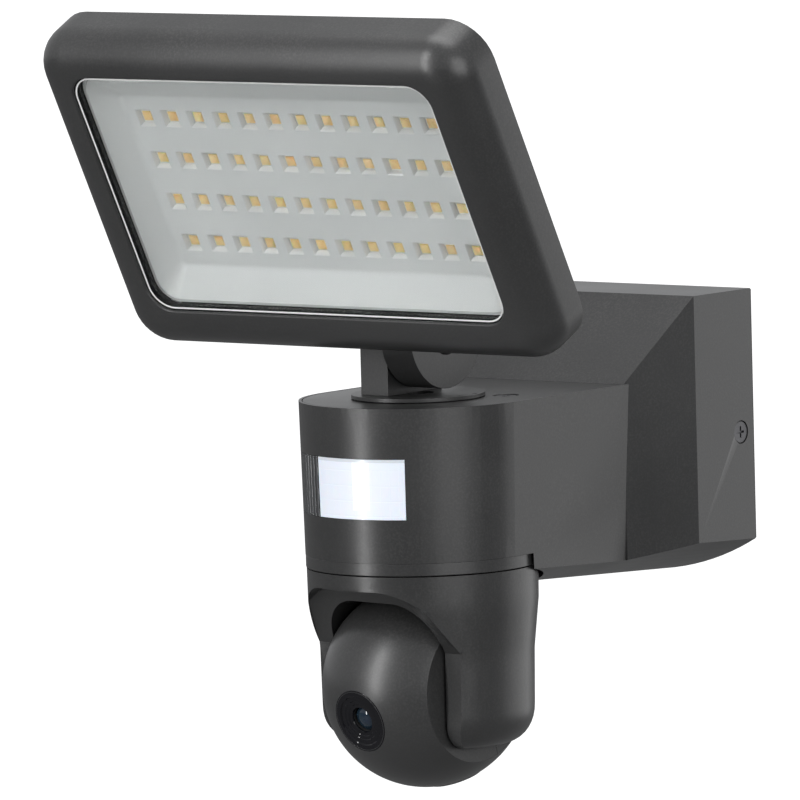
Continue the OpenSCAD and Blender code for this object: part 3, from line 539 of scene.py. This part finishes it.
def refine(node, edge, material=None, swell=1.0):
    """A cleaned copy of a CAD node with rounded edges, swollen about the ball's centre."""
    bm = bmesh.new()
    bm.from_mesh(nodes[node].data)
    bmesh.ops.transform(bm, matrix=nodes[node].matrix_world, verts=bm.verts)
    if swell != 1.0:
        centre = Matrix.Translation(pivot["camera_tilt"])
        larger = centre @ Matrix.Scale(swell, 4) @ centre.inverted()
        bmesh.ops.transform(bm, matrix=larger, verts=bm.verts)
    bmesh.ops.remove_doubles(bm, verts=bm.verts, dist=MERGE)
    bmesh.ops.dissolve_limit(bm, angle_limit=radians(0.4), verts=bm.verts, edges=bm.edges)
    piece = finish_piece(node + "_body", bm, node, material=material, replaces=(node,),
                         crease=EDGE_CREASE)
    soften(piece, edge)


def outline(bm, width, height, corner, level, rise=0.0):
    """A rounded rectangle at a level in the head's frame; gives its edges."""
    known = set(bm.faces)
    square = bmesh.ops.create_grid(bm, x_segments=1, y_segments=1, size=0.5)["verts"]
    bmesh.ops.scale(bm, vec=(width, height, 1), verts=square)
    bmesh.ops.translate(bm, vec=(0, rise, level), verts=square)
    bmesh.ops.bevel(bm, geom=square, offset=corner, offset_type="OFFSET", segments=8, profile=0.5,
                    affect="VERTICES", material=-1)
    face = next(face for face in bm.faces if face not in known)
    edges = list(face.edges)
    bmesh.ops.delete(bm, geom=[face], context="FACES_ONLY")
    return edges


def loft(bm, outlines, ring=False, caps=False):
    """Skins a row of outlines; a ring joins the last to the first, caps close the ends."""
    loops = [outline(bm, *values) for values in outlines]
    following = loops[1:] + loops[:1] if ring else loops[1:]
    for first, second in zip(loops, following):
        bmesh.ops.bridge_loops(bm, edges=first + second)
    if caps:
        for loop in (loops[0], loops[-1]):
            bmesh.ops.edgeloop_fill(bm, edges=loop)


def spin_profile(bm, points, steps=64):
    """Turns a profile of (radius, height) about Z; a closed shape needs ends on the axis."""
    verts = [bm.verts.new((radius, 0, height)) for radius, height in points]
    edges = [bm.edges.new(pair) for pair in zip(verts, verts[1:])]
    bmesh.ops.spin(bm, geom=verts + edges, cent=(0, 0, 0), axis=(0, 0, 1), angle=2 * pi,
                   steps=steps, use_merge=True)


def arc(centre_r, centre_h, radius, start, stop, steps):
    """Points of a profile's arc, angles in degrees from outwards to upwards."""
    span = [radians(start + (stop - start) * step / steps) for step in range(steps + 1)]
    return [(centre_r + radius * cos(angle), centre_h + radius * sin(angle)) for angle in span]


def window(grow, level):
    """The outline of the head's window, grown all round, at a level."""
    return GLASS_W + 2 * grow, GLASS_H + 2 * grow, GLASS_CORNER + grow, level, GLASS_UP


# ---------------------------------------------------------------- flood head

HEAD_W, HEAD_H = 183.6 * MM, 124.8 * MM
HEAD_CORNER, HEAD_EDGE = 15 * MM, 12 * MM
FRONT, BACK = 15.8 * MM, -5.6 * MM
SKIN, LIP = 3.5 * MM, 3.5 * MM
GLASS_W, GLASS_H, GLASS_CORNER = 153.4 * MM, 93.5 * MM, 9 * MM
GLASS_UP, GLASS_LOW, GLASS_TOP = 1.9 * MM, 11.6 * MM, 14.6 * MM
CAVITY = (HEAD_W - 2 * SKIN, HEAD_H - 2 * SKIN, HEAD_CORNER - SKIN)


def make_head_shell():
    """Cast frame: a full round to the front, a fine chamfer at the back, an eased window edge."""
    chamfer = 0.4 * MM
    rows = [(HEAD_W - 2 * chamfer, HEAD_H - 2 * chamfer, HEAD_CORNER - chamfer, BACK),
            (HEAD_W, HEAD_H, HEAD_CORNER, BACK + chamfer)]
    round_steps = 12
    for step in range(round_steps + 1):
        angle = radians(90 * step / round_steps)
        inset = HEAD_EDGE * (1 - cos(angle))
        rows.append((HEAD_W - 2 * inset, HEAD_H - 2 * inset, HEAD_CORNER - inset,
                     FRONT - HEAD_EDGE * (1 - sin(angle))))
    ease = 0.6 * MM
    # neighbouring outlines are kept out of one plane, where the skin between them would twist
    step_down = 0.03 * MM
    for angle in (0, radians(30), radians(60), radians(90)):
        rows.append(window(ease * (1 - sin(angle)), FRONT - step_down - ease * (1 - cos(angle))))
    seat = 0.1 * MM
    rows += [window(0, GLASS_TOP + seat), window(LIP, GLASS_TOP + seat - step_down),
             window(LIP, GLASS_LOW - seat),
             (*CAVITY, GLASS_LOW - seat - step_down), (*CAVITY, BACK + step_down)]
    bm = bmesh.new()
    loft(bm, rows, ring=True)
    finish_piece("head_shell", bm, "head_frame", place=head_place, replaces=("head_frame",))


def make_glass():
    """Window pane with ground edges."""
    edge = LIP - 0.1 * MM
    ground = 0.5 * MM
    bm = bmesh.new()
    loft(bm, [window(edge - ground, GLASS_LOW), window(edge, GLASS_LOW + ground),
              window(edge, GLASS_TOP - ground), window(edge - ground, GLASS_TOP)], caps=True)
    finish_piece("window_pane", bm, "front_glass", place=head_place, replaces=("front_glass",))


def make_ring(name, like, inner, outer, low, high, ease, material=None, replaces=()):
    """A flat frame between two sizes of the window's outline, with eased edges."""
    bm = bmesh.new()
    loft(bm, [window(inner + ease, low), window(inner, low + ease), window(inner, high - ease),
              window(inner + ease, high), window(outer - ease, high), window(outer, high - ease),
              window(outer, low + ease), window(outer - ease, low)], ring=True)
    finish_piece(name, bm, like, material=material, place=head_place, replaces=replaces)


FLOOR_W, FLOOR_H, FLOOR = 137.4 * MM, 69 * MM, 1.7 * MM
TRAY_TOP = 9.8 * MM
COLUMNS, ROWS = 12, 4
PITCH_X, PITCH_Y = 11.1 * MM, 16.65 * MM
BOARD_TOP = -0.3 * MM
WELL_HALF = 3.4 * MM
CHIP_W, CHIP_T = 3.6 * MM, 0.7 * MM
DOME_R, DOME_FLATTEN, DOME_UP = 1.55 * MM, 0.36, 0.62 * MM


def make_reflector():
    """Pressed tray with a soft floor edge and a countersunk well round each light."""
    sheet = 0.9 * MM
    tray_w, tray_h = GLASS_W - 2 * sheet, GLASS_H - 2 * sheet
    grid_w, grid_h = COLUMNS * PITCH_X, ROWS * PITCH_Y
    tuck = 0.4 * MM
    rows = [(tray_w - 2 * sheet, tray_h - 2 * sheet, 8 * MM, TRAY_TOP, GLASS_UP),
            (FLOOR_W + 1.2 * MM, FLOOR_H + 1.6 * MM, 3 * MM, FLOOR + 0.9 * MM, 0),
            (FLOOR_W - 0.6 * MM, FLOOR_H, 2 * MM, FLOOR + 0.3 * MM, 0),
            (FLOOR_W - 2.4 * MM, FLOOR_H - 1.2 * MM, 1.2 * MM, FLOOR + 0.01 * MM, 0),
            (grid_w - tuck, grid_h - tuck, tuck, FLOOR - 0.01 * MM, 0)]
    bm = bmesh.new()
    loft(bm, rows)
    known = set(bm.faces)
    cells = bmesh.ops.create_grid(bm, x_segments=COLUMNS, y_segments=ROWS, size=0.5)["verts"]
    bmesh.ops.scale(bm, vec=(grid_w, grid_h, 1), verts=cells)
    bmesh.ops.translate(bm, vec=(0, 0, FLOOR), verts=cells)
    faces = [face for face in bm.faces if face not in known]
    # a square inside each cell, then the well's rim, skirt and bore
    bmesh.ops.inset_individual(bm, faces=faces, thickness=1.6 * MM, depth=0)
    for face in faces:
        centre = face.calc_center_median()
        for vert in face.verts:
            offset = vert.co - centre
            vert.co = centre + WELL_HALF * Vector((1 if offset.x > 0 else -1,
                                                   1 if offset.y > 0 else -1, 0))
    for inwards, deeper in ((0.25, 0.15), (1.1, 1.0), (0.08, 0.55)):
        bmesh.ops.inset_individual(bm, faces=faces, thickness=inwards * MM, depth=-deeper * MM)
    finish_piece("reflector_tray", bm, "reflector", place=head_place, replaces=("reflector",),
                 crease=40)


def light_places():
    """Centres of the lights, in the head's frame."""
    return [Vector(((column - (COLUMNS - 1) / 2) * PITCH_X, (row - (ROWS - 1) / 2) * PITCH_Y, 0))
            for column in range(COLUMNS) for row in range(ROWS)]


def make_lights():
    """Yellow chips with a low dome of the same phosphor on each."""
    carriers, domes = bmesh.new(), bmesh.new()
    for place in light_places():
        block = bmesh.ops.create_cube(carriers, size=1)["verts"]
        bmesh.ops.scale(carriers, vec=(CHIP_W, CHIP_W, CHIP_T), verts=block)
        middle = place + Vector((0, 0, BOARD_TOP + CHIP_T / 2))
        bmesh.ops.translate(carriers, vec=middle, verts=block)
        edges = [edge for edge in carriers.edges if all(vert in block for vert in edge.verts)]
        bmesh.ops.bevel(carriers, geom=edges, offset=0.15 * MM, offset_type="OFFSET", segments=1,
                        profile=0.5, affect="EDGES", material=-1)
        dome = bmesh.ops.create_uvsphere(domes, u_segments=14, v_segments=8, radius=DOME_R)["verts"]
        bmesh.ops.scale(domes, vec=(1, 1, DOME_FLATTEN), verts=dome)
        bmesh.ops.translate(domes, vec=place + Vector((0, 0, BOARD_TOP + DOME_UP)), verts=dome)
    finish_piece("chip_carriers", carriers, "leds", material=materials["led_phosphor"],
                 place=head_place, replaces=("leds",))
    finish_piece("phosphor_domes", domes, "leds", place=head_place)


make_head_shell()
make_glass()
make_ring("window_seal", "glass_gasket", -0.5 * MM, LIP + 0.9 * MM, 10 * MM, 11.5 * MM,
          ease=0.15 * MM, replaces=("glass_gasket",))
# a thin white ring just inside the window's edge, level with the glass's top: a painted highlight standing for the
# glint on the pane's ground edge
make_ring("painted_glint_ring", "front_glass", -1.1 * MM, -0.55 * MM,
          GLASS_TOP - 0.25 * MM, GLASS_TOP + 0.08 * MM,
          ease=0.05 * MM, material=materials["reflector_white"])
make_ring("tray_rim", "reflector", -1.9 * MM, -0.7 * MM, TRAY_TOP - 0.5 * MM, TRAY_TOP + 0.1 * MM,
          ease=0.05 * MM)
make_reflector()
make_lights()


# ---------------------------------------------------------------- camera ball

BALL_R, EYE_R = 35.5 * MM, 10.6 * MM
EYE = sqrt(BALL_R ** 2 - EYE_R ** 2)    # height of the lens window's edge over the ball's centre
LENS_BORE, DOME_EDGE = 4.4 * MM, 4.3 * MM


def make_lens_face():
    """Polished black disc with a raised rim, shallow steps and a bore for the lens."""
    upper_band = EYE_R + 0.7 * MM
    top = EYE - 0.4 * MM
    low = EYE - 1.9 * MM
    bore = EYE_R - 0.1 * MM
    rim_round = 0.3 * MM
    points = [(LENS_BORE, low), (bore, low), (bore, top - 0.1 * MM), (upper_band, top - 0.1 * MM)]
    points += arc(upper_band - rim_round, top + 0.05 * MM, rim_round, 0, 90, 4)
    # down in shallow steps from the rim to the bore: radius and height over the top
    steps = ((9.1, 0.3), (8.9, 0.1), (8.7, -0.15), (7.2, -0.15), (7.0, -0.35), (5.9, -0.4),
             (5.7, -0.6), (4.6, -0.7))
    points += [(radius * MM, top + height * MM) for radius, height in steps]
    points += [(LENS_BORE, top - 1.0 * MM), (LENS_BORE, low)]
    bm = bmesh.new()
    spin_profile(bm, points)
    finish_piece("lens_face", bm, "lens_window", place=lens_place, replaces=("lens_window",),
                 crease=25)


def make_lens_dome():
    """Front lens: a short cylinder with a domed face."""
    base = EYE - 3.6 * MM
    shoulder = base + 0.6 * MM
    sag = 1.5 * MM
    radius = (DOME_EDGE ** 2 + sag ** 2) / (2 * sag)
    half_angle = asin(DOME_EDGE / radius)
    dome_steps = 8
    points = [(0, base), (DOME_EDGE, base), (DOME_EDGE, shoulder)]
    for step in range(1, dome_steps + 1):
        angle = half_angle * (1 - step / dome_steps)
        points.append((radius * sin(angle), shoulder + sag - radius * (1 - cos(angle))))
    bm = bmesh.new()
    spin_profile(bm, points, steps=48)
    finish_piece("lens_dome", bm, "lens_glass", place=lens_place, replaces=("lens_glass",))


make_lens_face()
make_lens_dome()


# ---------------------------------------------------------------- finishes and cleaned copies

for name, node in nodes.items():
    for slot in node.material_slots:
        slot.material = materials[slot_of[name]]
for slot in nodes["sensor_window"].material_slots:
    slot.material = ribbed_window

EDGE_ROUND = {
    "main_housing": 0.5, "top_cover": 0.3, "collar_ring": 0.25, "yoke": 0.9, "turntable": 0.3,
    "hinge_post": 0.6, "hinge_bracket": 0.5, "heat_sink": 0.35, "hinge_bolt": 0.6, "hinge_nut": 0.4,
    "ball_front": 0.7, "ball_rear": 0.7, "head_screws": 0.3, "bracket_bolts": 0.35,
}
for name, edge in EDGE_ROUND.items():
    refine(name, edge * MM)

refine("card_cover", 0.3 * MM, swell=1.01)
refine("side_screws", 0.25 * MM, material=blackened_screw)
refine("cover_screws", 0.25 * MM, material=blackened_screw)

make_camera()
make_floor()
make_studio()
